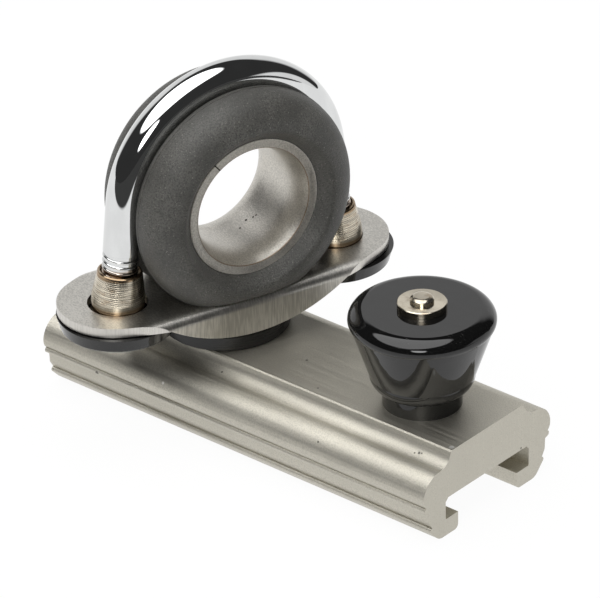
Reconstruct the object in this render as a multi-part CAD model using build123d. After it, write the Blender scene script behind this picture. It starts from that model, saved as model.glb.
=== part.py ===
from build123d import *

import math
import os

# Genoa car for a 25 mm T-track: an extruded slider, a swivelling bullseye
# fairlead held by a U-bolt, and a spring-loaded plunger stop.
#
# Frame, in millimetres: X runs along the slider towards the plunger, Z is up.
# The origin is at mid-length and mid-width, on the underside of the lips.

# Slider: overall size and the T-slot
SLIDER_LENGTH = 99.2
SLIDER_HEIGHT = 18.5
SLIDER_HALF_WIDTH = 19.8
TOP_HALF_WIDTH = 11.4
LIP_THICKNESS = 3.7
LIP_HALF_GAP = 9.15
LIP_TIP_RADIUS = 1.1
SLOT_HALF_WIDTH = 13.0
SLOT_HEIGHT = 4.7
SLOT_CORNER = 0.8
SLOT_CEILING = LIP_THICKNESS + SLOT_HEIGHT

# Swivel: its axis, the pin and the bush that the pin turns in
SWIVEL_X = -17.9
SWIVEL_ANGLE = 18.2
RUNNING_GAP = 0.05
PIN_RADIUS = 4.0
PIN_HEAD_RADIUS = 7.3
PIN_HEAD_BOTTOM = SLOT_CEILING + 0.2
PIN_HEAD_HEIGHT = 2.95
BUSH_FLANGE_RADIUS = 7.7
BUSH_FLANGE_HEIGHT = 1.0
BUSH_RADIUS = 5.5
COUNTERBORE_RADIUS = 7.8
COUNTERBORE_DEPTH = 4.2
PEEN_RADIUS = 6.0
PEEN_HEIGHT = 1.9
SWIVEL_WASHER_RADIUS = 8.0
SWIVEL_WASHER_HEIGHT = 1.2

# Swivel disc between the slider and the base plate
DISC_RADIUS = 13.2
DISC_EDGE_HEIGHT = 3.0
DISC_HUB_RADIUS = 11.2
DISC_SLOPE_HEIGHT = 1.4

# Base plate: 2 mm sheet with rounded ends, its long sides bent down to flanges
PLATE_TOP = 30.7
PLATE_THICKNESS = 2.0
PLATE_END_CENTRE = 25.2
PLATE_END_RADIUS = 11.7
PLATE_HALF_WIDTH = 17.0
FLANGE_HALF_WIDTH = 14.0
FLANGE_BOTTOM = 22.5
FLANGE_ARC_RADIUS = 37.0
BEND_RADIUS = 2.2
PLATE_BOTTOM = PLATE_TOP - PLATE_THICKNESS
PLATE_HOLE_CENTRE = (0.8, 25.1)
PLATE_HOLE_RADIUS = 6.1

# U-bolt: a round rod bent to a half circle with two straight legs. Its plane
# stands a little in front of the swivel's axis.
U_BOLT_OFFSET = 1.5
ROD_RADIUS = 2.9
HOOP_RADIUS = 24.8
HOOP_CENTRE = 49.5
THREAD_TOP = 40.6
THREAD_RADIUS = 2.8
LEG_BOTTOM = 27.2

# Sleeve nuts: tapered, with a flange under the plate
NUT_TOP = 37.9
NUT_TOP_RADIUS = 4.1
NUT_BASE_RADIUS = 5.3
NUT_EDGE = 0.2
NUT_BAND_HEIGHT = 1.5
NUT_MOUTH_RADIUS = 3.55
NUT_MOUTH_DEPTH = 0.9
NUT_FLANGE_RADIUS = 8.0
NUT_FLANGE_HEIGHT = 1.7

# Caps over the nut flanges, in line with the plate's holes
CAP_TOP_RADIUS = 12.3
CAP_BOTTOM_RADIUS = 11.6
CAP_TOP = PLATE_BOTTOM - 0.2
CAP_BOTTOM = 25.6
CAP_EDGE = 0.5

# Bullseye: a moulded ring with a groove for the U-bolt and a flat foot. Each
# lobe beside the groove is an arc about LOBE_CENTRE (offset, radius). The near
# side, towards the plunger, is the deeper one.
NEAR, FAR = 1, -1
EYE_CENTRE = 49.75
LOBE_CENTRE = {NEAR: (5.4, 17.2), FAR: (4.9, 18.2)}
LOBE_RADIUS = {NEAR: 6.6, FAR: 5.6}
LOBE_START_ANGLE = 107
FACE_RADIUS = 4.0
GROOVE_RADIUS = 3.0
GROOVE_BOTTOM_RADIUS = 21.6
GROOVE_EDGE_ANGLE = 56
FOOT_POCKET_RADIUS = 8.6
FOOT_POCKET_DEPTH = 3.8
SEAM_TURN = 10

# Liner of the bullseye: a thin tube flared to a flat rim at both ends
THROAT_RADIUS = 11.3
THROAT_HALF_LENGTH = 4.4
LINER_WALL = 1.4
LINER_RIM_OFFSET = {NEAR: 10.6, FAR: 9.1}
LINER_RIM_INNER = {NEAR: 12.8, FAR: 13.3}
LINER_RIM_OUTER = 14.6
LINER_RIM_THICKNESS = 0.9
LINER_GAP = 0.05

# Plunger stop: the housing, the pin, the spring and the knob
PLUNGER_X = 33.2
COLLAR_RADIUS = 7.95
COLLAR_TOP = 22.3
SPIGOT_RADIUS = 6.0
TUBE_RADIUS = 5.4
TUBE_TOP = 34.0
TUBE_ROOF = 1.5
STOP_RADIUS = 4.0
STOP_BOTTOM = 3.9
STOP_GUIDE_RADIUS = 4.4
STOP_SHOULDER = 14.0
STOP_CHAMFER = 0.7
STEM_RADIUS = 2.0
RIVET_RADIUS = 2.4
RIVET_HEIGHT = 1.2
SPRING_RADIUS = 3.2
SPRING_WIRE = 0.45
SPRING_TURNS = 6
KNOB_BOTTOM_RADIUS = 8.9
KNOB_FOOT_RADIUS = 10.6
KNOB_FOOT_HEIGHT = 3.0
KNOB_FOOT_ROUND = 3.9
KNOB_SEAM_HEIGHT = 36.1
KNOB_SEAM_RADIUS = 14.2
KNOB_SEAM_STEP = 0.15
KNOB_RIM_HEIGHT = 38.1
KNOB_RIM_ROUND = 1.85
KNOB_TOP = 39.6
KNOB_TOP_RADIUS = 11.9
KNOB_TOP_ROUND = 3.0
KNOB_CAVITY_RADIUS = 5.9
KNOB_WASHER_RADIUS = 4.95
KNOB_WASHER_HEIGHT = 1.4

# Small breaks of sharp corners, and room for a cutter to pass a face
EDGE_BREAK = 0.3
PAST = 1.0


def disc(radius, bottom, height):
    """Upright cylinder on the Z axis, by its bottom and height."""
    return Pos(0, 0, bottom) * Cylinder(radius, height, align=(Align.CENTER, Align.CENTER, Align.MIN))


def turned(edges):
    """Solid of revolution about Z, from a closed outline in the XZ plane."""
    return revolve(Plane.XZ * make_face(Curve() + edges), Axis.Z)


def on_swivel(shape):
    """Turn and move a fairlead piece from the swivel's own frame to the car's."""
    return Pos(SWIVEL_X, 0, 0) * Rot(0, 0, -SWIVEL_ANGLE) * shape


def on_u_bolt(shape):
    """Place a piece that is drawn about the U-bolt's plane."""
    return on_swivel(Pos(U_BOLT_OFFSET, 0, 0) * shape)


def on_plunger(shape):
    return Pos(PLUNGER_X, 0, 0) * shape


def slider_half_outline():
    """Right half of the extrusion's section: x is across the slider, y is up."""
    top_edge = (TOP_HALF_WIDTH - EDGE_BREAK, SLIDER_HEIGHT)
    cove_top = (TOP_HALF_WIDTH, SLIDER_HEIGHT - EDGE_BREAK)
    cove_end = (14.4, 15.35)
    side_top = (SLIDER_HALF_WIDTH, 11.2)
    side_bottom = (SLIDER_HALF_WIDTH, 10.4)
    rib_top, rib_bottom = (19.0, 8.95), (19.0, 7.75)
    band_top, band_bottom = (18.25, 7.5), (18.1, 5.1)
    foot_top, foot_bottom = (17.2, 3.65), (17.45, 2.55)
    toe_side, toe_bottom = (15.8, 0.8), (13.9, 0)
    lip_bottom, lip_side = (LIP_HALF_GAP + LIP_TIP_RADIUS, 0), (LIP_HALF_GAP, LIP_TIP_RADIUS)
    lip_top = (LIP_HALF_GAP, LIP_THICKNESS)
    slot_side = (SLOT_HALF_WIDTH, SLOT_CEILING - SLOT_CORNER)
    slot_top = (SLOT_HALF_WIDTH - SLOT_CORNER, SLOT_CEILING)
    return [
        Line((0, SLIDER_HEIGHT), top_edge),
        Line(top_edge, cove_top),
        RadiusArc(cove_top, cove_end, -3.6),
        RadiusArc(cove_end, side_top, 4.9),
        Line(side_top, side_bottom),
        RadiusArc(side_bottom, rib_top, 2.1),
        RadiusArc(rib_top, rib_bottom, 0.63),
        Polyline(rib_bottom, band_top, band_bottom, foot_top),
        RadiusArc(foot_top, foot_bottom, 0.6),
        Line(foot_bottom, toe_side),
        RadiusArc(toe_side, toe_bottom, 2.66),
        Line(toe_bottom, lip_bottom),
        RadiusArc(lip_bottom, lip_side, LIP_TIP_RADIUS),
        Polyline(lip_side, lip_top, (SLOT_HALF_WIDTH, LIP_THICKNESS), slot_side, slot_top, (0, SLOT_CEILING)),
    ]


def slider_body():
    """Extrusion with the swivel's stepped bore and the plunger's bore."""
    half = Curve() + slider_half_outline()
    section = Plane.YZ * make_face(half + mirror(half, Plane.YZ))
    body = extrude(Pos(-SLIDER_LENGTH / 2, 0, 0) * section, SLIDER_LENGTH)
    swivel_bore = disc(BUSH_RADIUS, 0, SLIDER_HEIGHT + PAST)
    swivel_bore += disc(COUNTERBORE_RADIUS, 0, SLOT_CEILING + COUNTERBORE_DEPTH)
    body -= Pos(SWIVEL_X, 0, 0) * swivel_bore
    body -= on_plunger(disc(SPIGOT_RADIUS, 0, SLIDER_HEIGHT + PAST))
    return body


def swivel_bush():
    """Flanged bush: the sleeve guides the pin, the flange takes its pull."""
    flange_top = SLOT_CEILING + COUNTERBORE_DEPTH
    flange_bottom = flange_top - BUSH_FLANGE_HEIGHT
    bush = disc(BUSH_RADIUS, flange_bottom, SLIDER_HEIGHT - RUNNING_GAP - flange_bottom)
    bush += disc(BUSH_FLANGE_RADIUS, flange_bottom, BUSH_FLANGE_HEIGHT)
    bush -= disc(PIN_RADIUS + RUNNING_GAP, 0, SLIDER_HEIGHT + PAST)
    return Pos(SWIVEL_X, 0, 0) * bush


def swivel_pin():
    """Headed pin, flush in the slot's ceiling and peened over its washer."""
    washer_top = PLATE_TOP + SWIVEL_WASHER_HEIGHT
    shank = disc(PIN_RADIUS, PIN_HEAD_BOTTOM, washer_top - PIN_HEAD_BOTTOM)
    head = disc(PIN_HEAD_RADIUS, PIN_HEAD_BOTTOM, PIN_HEAD_HEIGHT)
    head = chamfer(head.edges().group_by(Axis.Z)[0], EDGE_BREAK)
    peened = disc(PEEN_RADIUS, washer_top, PEEN_HEIGHT)
    peened = fillet(peened.edges().group_by(Axis.Z)[-1], 0.7 * PEEN_HEIGHT)
    return on_swivel(shank + head + peened)


def swivel_washer():
    ring = disc(SWIVEL_WASHER_RADIUS, PLATE_TOP, SWIVEL_WASHER_HEIGHT)
    return on_swivel(ring - disc(PIN_RADIUS + RUNNING_GAP, PLATE_TOP - PAST, SWIVEL_WASHER_HEIGHT + 2 * PAST))


def swivel_disc():
    """Moulded disc that the fairlead turns on, narrower between the flanges."""
    hub_bottom = SLIDER_HEIGHT + DISC_EDGE_HEIGHT + DISC_SLOPE_HEIGHT
    outline = Polyline(
        (PIN_RADIUS + RUNNING_GAP, SLIDER_HEIGHT),
        (DISC_RADIUS - EDGE_BREAK, SLIDER_HEIGHT),
        (DISC_RADIUS, SLIDER_HEIGHT + EDGE_BREAK),
        (DISC_RADIUS, SLIDER_HEIGHT + DISC_EDGE_HEIGHT),
        (DISC_HUB_RADIUS, hub_bottom),
        (DISC_HUB_RADIUS, PLATE_BOTTOM),
        (PIN_RADIUS + RUNNING_GAP, PLATE_BOTTOM),
        close=True,
    )
    return on_swivel(turned([outline]))


def plate_plan():
    """Plan of the base plate: side arcs tangent to the end arcs. y is its long axis."""
    end, end_radius, half_width = PLATE_END_CENTRE, PLATE_END_RADIUS, PLATE_HALF_WIDTH
    side_radius = (end**2 + half_width**2 - end_radius**2) / (2 * (half_width - end_radius))
    side_centre = half_width - side_radius
    reach = side_radius - end_radius
    touch_x = end_radius * -side_centre / reach
    touch_y = end + end_radius * end / reach
    edges = []
    for side in (-1, 1):
        edges.append(ThreePointArc(
            (side * touch_x, -touch_y), (side * half_width, 0), (side * touch_x, touch_y)))
        edges.append(ThreePointArc(
            (-touch_x, side * touch_y), (0, side * (end + end_radius)), (touch_x, side * touch_y)))
    return make_face(Curve() + edges)


def base_plate():
    """Bent plate: a channel section cut to the plate's plan and the flanges' arc."""
    length = 2 * (PLATE_END_CENTRE + PLATE_END_RADIUS)
    centred = (Align.CENTER, Align.CENTER, Align.MIN)
    height = PLATE_TOP - FLANGE_BOTTOM
    outer = Pos(0, 0, FLANGE_BOTTOM) * Box(2 * FLANGE_HALF_WIDTH, length, height, align=centred)
    inner_width = 2 * (FLANGE_HALF_WIDTH - PLATE_THICKNESS)
    inner = Pos(0, 0, FLANGE_BOTTOM) * Box(inner_width, length, height - PLATE_THICKNESS, align=centred)
    top_edges = outer.edges().filter_by(Axis.Y).group_by(Axis.Z)[-1]
    channel = fillet(top_edges, BEND_RADIUS)
    inner_edges = inner.edges().filter_by(Axis.Y).group_by(Axis.Z)[-1]
    channel -= fillet(inner_edges, BEND_RADIUS - PLATE_THICKNESS)
    # lower edge of the flanges, which runs out into the plate at both ends
    below = Pos(0, 0, FLANGE_BOTTOM - PAST) * Box(
        4 * FLANGE_HALF_WIDTH, 2 * length, PLATE_BOTTOM - FLANGE_BOTTOM + PAST, align=centred)
    arc_cylinder = Pos(0, 0, FLANGE_BOTTOM + FLANGE_ARC_RADIUS) * Rot(0, 90, 0) * Cylinder(
        FLANGE_ARC_RADIUS, 6 * FLANGE_HALF_WIDTH)
    channel -= below - arc_cylinder
    plate = channel & extrude(Pos(0, 0, FLANGE_BOTTOM - PAST) * plate_plan(), height + 2 * PAST)
    for side in (-1, 1):
        plate -= Pos(PLATE_HOLE_CENTRE[0], side * PLATE_HOLE_CENTRE[1], 0) * disc(
            PLATE_HOLE_RADIUS, PLATE_BOTTOM - PAST, PLATE_THICKNESS + 2 * PAST)
    plate -= disc(PIN_RADIUS + RUNNING_GAP, PLATE_BOTTOM - PAST, PLATE_THICKNESS + 2 * PAST)
    return on_swivel(plate)


def u_bolt():
    """Half-circle hoop with straight legs, threaded at their ends."""
    hoop = revolve(Pos(0, HOOP_RADIUS) * Circle(ROD_RADIUS), Axis.X, revolution_arc=180)
    bolt = Pos(0, 0, HOOP_CENTRE) * hoop
    for side in (-1, 1):
        leg = disc(ROD_RADIUS, THREAD_TOP, HOOP_CENTRE - THREAD_TOP)
        leg += disc(THREAD_RADIUS, LEG_BOTTOM, THREAD_TOP - LEG_BOTTOM)
        bolt += Pos(0, side * HOOP_RADIUS, 0) * leg
    return on_u_bolt(bolt)


def sleeve_nut(side):
    """Tapered nut on one leg; its flange bears on the plate's underside."""
    thread = THREAD_RADIUS + RUNNING_GAP
    outline = Polyline(
        (thread, PLATE_BOTTOM - NUT_FLANGE_HEIGHT),
        (NUT_FLANGE_RADIUS, PLATE_BOTTOM - NUT_FLANGE_HEIGHT),
        (NUT_FLANGE_RADIUS, PLATE_BOTTOM),
        (NUT_BASE_RADIUS, PLATE_BOTTOM),
        (NUT_BASE_RADIUS, PLATE_TOP + NUT_BAND_HEIGHT),
        (NUT_TOP_RADIUS, NUT_TOP - NUT_EDGE),
        (NUT_TOP_RADIUS - NUT_EDGE, NUT_TOP),
        (NUT_MOUTH_RADIUS, NUT_TOP),
        (thread, NUT_TOP - NUT_MOUTH_DEPTH),
        close=True,
    )
    return on_u_bolt(Pos(0, side * HOOP_RADIUS, 0) * turned([outline]))


def nut_cap(side):
    """Dished cap pushed over a nut's flange from below."""
    edge_side = (CAP_BOTTOM_RADIUS, CAP_BOTTOM + CAP_EDGE)
    edge_bottom = (CAP_BOTTOM_RADIUS - CAP_EDGE, CAP_BOTTOM)
    outline = [
        Polyline(edge_side, (CAP_TOP_RADIUS, CAP_TOP), (0, CAP_TOP), (0, CAP_BOTTOM), edge_bottom),
        RadiusArc(edge_bottom, edge_side, -CAP_EDGE),
    ]
    cap = Pos(PLATE_HOLE_CENTRE[0], side * PLATE_HOLE_CENTRE[1], 0) * turned(outline)
    pocket = disc(NUT_FLANGE_RADIUS + RUNNING_GAP, PLATE_BOTTOM - NUT_FLANGE_HEIGHT, CAP_TOP)
    cap -= Pos(U_BOLT_OFFSET, side * HOOP_RADIUS, 0) * pocket
    return on_swivel(cap)


def eye_ring(curve):
    """Revolve about the eye's axis a closed outline: x is the offset along it, y the radius."""
    ring = Rot(SEAM_TURN, 0, 0) * revolve(Plane.XZ * make_face(curve), Axis.X)
    return Pos(0, 0, EYE_CENTRE) * ring


def polar(centre, radius, angle):
    """Point on a circle in the (offset, radius) plane, its angle in degrees from the offset's axis."""
    turn = math.radians(angle)
    return centre[0] + radius * math.cos(turn), centre[1] + radius * math.sin(turn)


def arc(centre, radius, start, end):
    middle = (start + end) / 2
    return ThreePointArc(
        polar(centre, radius, start), polar(centre, radius, middle), polar(centre, radius, end))


def liner_half(side):
    """One end of the liner's outline, from the middle of the bore to the middle of the back."""
    rim_offset = LINER_RIM_OFFSET[side]
    rim = (side * rim_offset, LINER_RIM_INNER[side])
    throat = (side * THROAT_HALF_LENGTH, THROAT_RADIUS)
    return [
        Line((0, THROAT_RADIUS), throat),
        TangentArc(throat, rim, tangent=(side, 0)),
        Polyline(
            rim,
            (side * rim_offset, LINER_RIM_OUTER),
            (side * (rim_offset - LINER_RIM_THICKNESS), LINER_RIM_OUTER),
            (side * THROAT_HALF_LENGTH, THROAT_RADIUS + LINER_WALL),
            (0, THROAT_RADIUS + LINER_WALL),
        ),
    ]


def bullseye_liner():
    """Tube with a flared mouth at each end, turned to a flat rim; the far mouth is wider."""
    return on_u_bolt(eye_ring(Curve() + liner_half(NEAR) + liner_half(FAR)))


def bullseye_half(side):
    """One side of the ring's outline, from the liner's seat to the bottom of the groove."""
    seat = THROAT_RADIUS + LINER_WALL + LINER_GAP
    seat_rim = LINER_RIM_OUTER + LINER_GAP
    face_rim = (LINER_RIM_OFFSET[side] - 2 * LINER_GAP, seat_rim)
    centre, radius = LOBE_CENTRE[side], LOBE_RADIUS[side]
    crest = polar(centre, radius, 0)
    groove_centre = (0, GROOVE_BOTTOM_RADIUS + GROOVE_RADIUS)
    groove_edge = GROOVE_EDGE_ANGLE - 90
    curve = Curve() + [
        Polyline(
            (0, seat),
            (THROAT_HALF_LENGTH, seat),
            (LINER_RIM_OFFSET[side] - LINER_RIM_THICKNESS, seat_rim),
            face_rim,
        ),
        RadiusArc(face_rim, crest, -FACE_RADIUS),
        arc(centre, radius, 0, LOBE_START_ANGLE),
        Line(polar(centre, radius, LOBE_START_ANGLE), polar(groove_centre, GROOVE_RADIUS, groove_edge)),
        arc(groove_centre, GROOVE_RADIUS, groove_edge, -90),
    ]
    return curve if side == NEAR else mirror(curve, Plane.YZ)


def bullseye():
    """Moulded ring: two round lobes, the U-bolt's groove, the liner's seat and a flat foot."""
    ring = eye_ring(bullseye_half(NEAR) + bullseye_half(FAR))
    size = 8 * THROAT_RADIUS
    ring -= Pos(0, 0, PLATE_TOP) * Box(size, size, size, align=(Align.CENTER, Align.CENTER, Align.MAX))
    ring -= Pos(-U_BOLT_OFFSET, 0, 0) * disc(FOOT_POCKET_RADIUS, PLATE_TOP - PAST, FOOT_POCKET_DEPTH + PAST)
    return on_u_bolt(ring)


def plunger_housing():
    """Screwed into the slider by its spigot; the collar shows below the knob."""
    bore = STOP_GUIDE_RADIUS + RUNNING_GAP
    stem = STEM_RADIUS + RUNNING_GAP
    outline = Polyline(
        (bore, PIN_HEAD_BOTTOM),
        (SPIGOT_RADIUS, PIN_HEAD_BOTTOM),
        (SPIGOT_RADIUS, SLIDER_HEIGHT),
        (COLLAR_RADIUS, SLIDER_HEIGHT),
        (COLLAR_RADIUS, COLLAR_TOP),
        (TUBE_RADIUS, COLLAR_TOP),
        (TUBE_RADIUS, TUBE_TOP),
        (stem, TUBE_TOP),
        (stem, TUBE_TOP - TUBE_ROOF),
        (bore, TUBE_TOP - TUBE_ROOF),
        close=True,
    )
    return on_plunger(turned([outline]))


def plunger_spring():
    """Compression spring between the pin's shoulder and the housing's roof."""
    bottom = STOP_SHOULDER + SPRING_WIRE
    height = TUBE_TOP - TUBE_ROOF - SPRING_WIRE - bottom
    coil = Helix(height / SPRING_TURNS, height, SPRING_RADIUS)
    wire = sweep((coil ^ 0) * Circle(SPRING_WIRE), path=coil)
    return on_plunger(Pos(0, 0, bottom) * wire)


def plunger_pin():
    """Stop pin, its stem and the end riveted over the knob's washer."""
    washer_top = KNOB_TOP + KNOB_WASHER_HEIGHT
    rivet_side = (RIVET_RADIUS, washer_top + 0.5 * RIVET_HEIGHT)
    rivet_top = (0.5 * RIVET_RADIUS, washer_top + RIVET_HEIGHT)
    outline = [
        Polyline(
            (0, rivet_top[1]),
            (0, STOP_BOTTOM),
            (STOP_RADIUS - STOP_CHAMFER, STOP_BOTTOM),
            (STOP_RADIUS, STOP_BOTTOM + STOP_CHAMFER),
            (STOP_RADIUS, SLOT_CEILING),
            (STOP_GUIDE_RADIUS, SLOT_CEILING),
            (STOP_GUIDE_RADIUS, STOP_SHOULDER),
            (STEM_RADIUS, STOP_SHOULDER),
            (STEM_RADIUS, washer_top),
            (RIVET_RADIUS, washer_top),
            rivet_side,
        ),
        RadiusArc(rivet_side, rivet_top, -RIVET_HEIGHT),
        Line(rivet_top, (0, rivet_top[1])),
    ]
    return on_plunger(turned(outline))


def knob():
    """Tapered moulded knob with a rolled rim, hollow over the housing's tube."""
    bottom = (KNOB_BOTTOM_RADIUS, COLLAR_TOP)
    foot = (KNOB_FOOT_RADIUS, COLLAR_TOP + KNOB_FOOT_HEIGHT)
    seam_below = (KNOB_SEAM_RADIUS, KNOB_SEAM_HEIGHT)
    seam_above = (KNOB_SEAM_RADIUS + KNOB_SEAM_STEP, KNOB_SEAM_HEIGHT)
    rim = (KNOB_SEAM_RADIUS + KNOB_SEAM_STEP, KNOB_RIM_HEIGHT)
    top = (KNOB_TOP_RADIUS, KNOB_TOP)
    cavity_top = TUBE_TOP + 2 * KNOB_SEAM_STEP
    stem = STEM_RADIUS + RUNNING_GAP
    outline = [
        Line((KNOB_CAVITY_RADIUS, COLLAR_TOP), bottom),
        RadiusArc(bottom, foot, -KNOB_FOOT_ROUND),
        Polyline(foot, seam_below, seam_above),
        RadiusArc(seam_above, rim, -KNOB_RIM_ROUND),
        RadiusArc(rim, top, -KNOB_TOP_ROUND),
        Polyline(
            top,
            (stem, KNOB_TOP),
            (stem, cavity_top),
            (KNOB_CAVITY_RADIUS, cavity_top),
            (KNOB_CAVITY_RADIUS, COLLAR_TOP),
        ),
    ]
    return on_plunger(turned(outline))


def knob_washer():
    ring = disc(KNOB_WASHER_RADIUS, KNOB_TOP, KNOB_WASHER_HEIGHT)
    ring = chamfer(ring.edges().group_by(Axis.Z)[-1], KNOB_SEAM_STEP)
    return on_plunger(ring - disc(STEM_RADIUS + RUNNING_GAP, KNOB_TOP - PAST, KNOB_WASHER_HEIGHT + 2 * PAST))


LEFT, RIGHT = -1, 1

PARTS = {
    "slider_body": slider_body(),
    "swivel_bush": swivel_bush(),
    "swivel_pin": swivel_pin(),
    "swivel_washer": swivel_washer(),
    "swivel_disc": swivel_disc(),
    "base_plate": base_plate(),
    "u_bolt": u_bolt(),
    "sleeve_nut_left": sleeve_nut(LEFT),
    "sleeve_nut_right": sleeve_nut(RIGHT),
    "nut_cap_left": nut_cap(LEFT),
    "nut_cap_right": nut_cap(RIGHT),
    "bullseye": bullseye(),
    "bullseye_liner": bullseye_liner(),
    "plunger_housing": plunger_housing(),
    "plunger_spring": plunger_spring(),
    "plunger_pin": plunger_pin(),
    "knob": knob(),
    "knob_washer": knob_washer(),
}

os.makedirs("parts", exist_ok=True)
for node, shape in PARTS.items():
    export_step(shape, f"parts/{node}.step")
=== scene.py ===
import math

import bmesh
import bpy
from mathutils import Matrix, Vector


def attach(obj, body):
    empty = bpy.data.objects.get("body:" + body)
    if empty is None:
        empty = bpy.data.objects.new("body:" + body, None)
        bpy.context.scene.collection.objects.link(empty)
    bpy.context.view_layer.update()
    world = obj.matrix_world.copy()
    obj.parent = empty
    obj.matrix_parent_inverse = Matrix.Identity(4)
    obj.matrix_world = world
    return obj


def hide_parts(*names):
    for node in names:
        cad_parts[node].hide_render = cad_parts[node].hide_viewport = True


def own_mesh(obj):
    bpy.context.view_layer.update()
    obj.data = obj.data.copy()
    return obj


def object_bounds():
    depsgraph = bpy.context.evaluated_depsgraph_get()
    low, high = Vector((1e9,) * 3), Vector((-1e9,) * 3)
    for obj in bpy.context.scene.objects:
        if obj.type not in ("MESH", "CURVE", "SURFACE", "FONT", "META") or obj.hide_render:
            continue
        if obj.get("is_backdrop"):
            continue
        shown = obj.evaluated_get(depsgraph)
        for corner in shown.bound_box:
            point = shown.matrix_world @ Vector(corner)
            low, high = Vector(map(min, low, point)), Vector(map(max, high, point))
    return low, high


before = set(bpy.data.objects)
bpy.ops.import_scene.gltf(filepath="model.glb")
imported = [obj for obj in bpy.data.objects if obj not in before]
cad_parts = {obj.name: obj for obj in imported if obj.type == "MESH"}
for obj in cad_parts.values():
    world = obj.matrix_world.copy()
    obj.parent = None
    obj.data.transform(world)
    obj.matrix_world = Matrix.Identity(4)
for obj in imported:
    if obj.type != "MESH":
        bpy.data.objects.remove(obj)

bl_info = {
    "name": "Genoa car",
    "version": (1, 0, 0),
    "blender": (4, 5, 0),
    "location": "3D view > Sidebar > Genoa car",
    "description": "Genoa car with a bullseye fairlead held by a U-bolt, and a plunger stop",
    "category": "Object",
}

MM = 0.001

# Places on the part, in millimetres and degrees
SWIVEL_X = -17.9
SWIVEL_ANGLE = 18.2
U_BOLT_OFFSET = 1.5
EYE_CENTRE = 49.75
PLATE_TOP = 30.7
SIDES = {"left": -1, "right": 1}
PLUNGER_X = 33.2
SPRING_BOTTOM = 14.0
SPRING_TOP = 32.5
SPRING_TURNS = 6.0
SPRING_COIL = 3.2

# The U-bolt as the photograph shows it: an arc whose legs spread towards the plate.
# Heights on a leg run along it, from where its axis meets the plate's top.
HOOP_RADIUS = 23.45
HOOP_CENTRE = 50.45
LEG_SPREAD = math.radians(5.5)
LEG_FOOT = HOOP_RADIUS / math.cos(LEG_SPREAD) + (HOOP_CENTRE - PLATE_TOP) * math.tan(LEG_SPREAD)
LEG_BOTTOM = 27.3
THREAD_TOP = 42.3
NUT_TOP = 38.2
# Level bands of rust on the threads and of salt stain on the nuts: height and half the width
THREAD_RUST = (NUT_TOP + 0.4, 1.2)
NUT_STAINS = ((PLATE_TOP + 0.3, 1.0), (NUT_TOP - 0.1, 0.7))
# The faces of the plate's flanges start between these offsets from its middle line
FLANGE_FACES = (13.7, 13.9)

# The ring as the photograph shows it: its lobes stand further apart, with a deeper groove for the rod.
# Each change fades in over a span of offsets from the groove's middle, and over a span of radii.
LOBE_SHIFT = {"near": 1.0, "far": 0.7}
SHIFT_OFFSETS = (0.5, 3.5)
SHIFT_RADII = (15.2, 17.5)
GROOVE_SINK = 2.0
SINK_OFFSETS = (1.5, 3.8)
SINK_RADII = (18.5, 21.0)
FOOT_KEPT = (0.2, 3.0)
# Offset along the eye's axis and radius of each moulding line, a little outside the groove's edge
MOULDING_LINES = {
    "near": (4.83 + LOBE_SHIFT["near"], 23.78),
    "far": (-4.41 - LOBE_SHIFT["far"], 23.78),
}

# Faces that meet at more than this angle keep a sharp edge
SHARP_ANGLE = math.radians(25)

# The photograph's camera: the direction that it looks from, its roll and its distance
CAMERA_AZIMUTH = 40.543
CAMERA_ELEVATION = 29.829
CAMERA_ROLL = -0.821
CAMERA_DISTANCE = 1.2493
CAMERA_TARGET = (-0.0096, 0.013504, 0.02)
CAMERA_LENS = 371.9
CAMERA_SENSOR = 36.0

# The studio: how white the sheet is to the eye, the lights' soft edge in degrees, and the backdrop,
# whose sides and top are spans of the direction's dot product with its axis and of its height
SHEET_WHITENESS = 0.95
LIGHT_SOFTNESS = 2
BACKDROP_TURN = 8
BACKDROP_SIDES = (0.5, 0.72)
BACKDROP_TOP = (0.56, 0.66)


def srgb(code):
    """Linear RGB of an sRGB hex colour."""
    channels = [int(code[i:i + 2], 16) / 255 for i in (1, 3, 5)]
    return [c / 12.92 if c <= 0.04045 else ((c + 0.055) / 1.055) ** 2.4 for c in channels]


def colour(name, description, code):
    return bpy.props.FloatVectorProperty(
        name=name, description=description, subtype="COLOR", size=3, min=0, max=1, default=srgb(code))


def length(name, description, millimetres):
    return bpy.props.FloatProperty(
        name=name, description=description, subtype="DISTANCE", unit="LENGTH", min=0,
        default=millimetres * MM)


def share(name, description, value):
    return bpy.props.FloatProperty(
        name=name, description=description, subtype="FACTOR", min=0, max=1, default=value)


class GenoaFinishes(bpy.types.PropertyGroup):
    anodised: colour("Anodised aluminium", "Colour of the slider", "#CFCBBF")
    plate: colour("Plate steel", "Colour of the pressed base plate", "#DCD9D2")
    polished: colour("Polished steel", "Colour of the U-bolt", "#DEDFDF")
    turned: colour("Turned steel", "Colour of the sleeve nuts and the pins", "#D8CFBD")
    liner: colour("Blasted steel", "Colour of the bullseye's liner", "#D5D1C9")
    spring: colour("Spring steel", "Colour of the plunger's spring", "#A9A9A6")
    nylon: colour("Moulded nylon", "Colour of the bullseye", "#504F4B")
    acetal: colour("Acetal", "Colour of the swivel disc and the bush", "#0B0B0B")
    gloss: colour("Gloss nylon", "Colour of the knob, its housing and the nut caps", "#0D0D0D")
    tarnish: colour("Tarnish", "Golden brown stain on the turned steel", "#8A6A42")
    dirt: colour("Dirt", "Colour of nicks, specks and dirty edges", "#34302B")
    satin: share("Satin roughness", "Roughness of the slider's anodised skin", 0.5)


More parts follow.
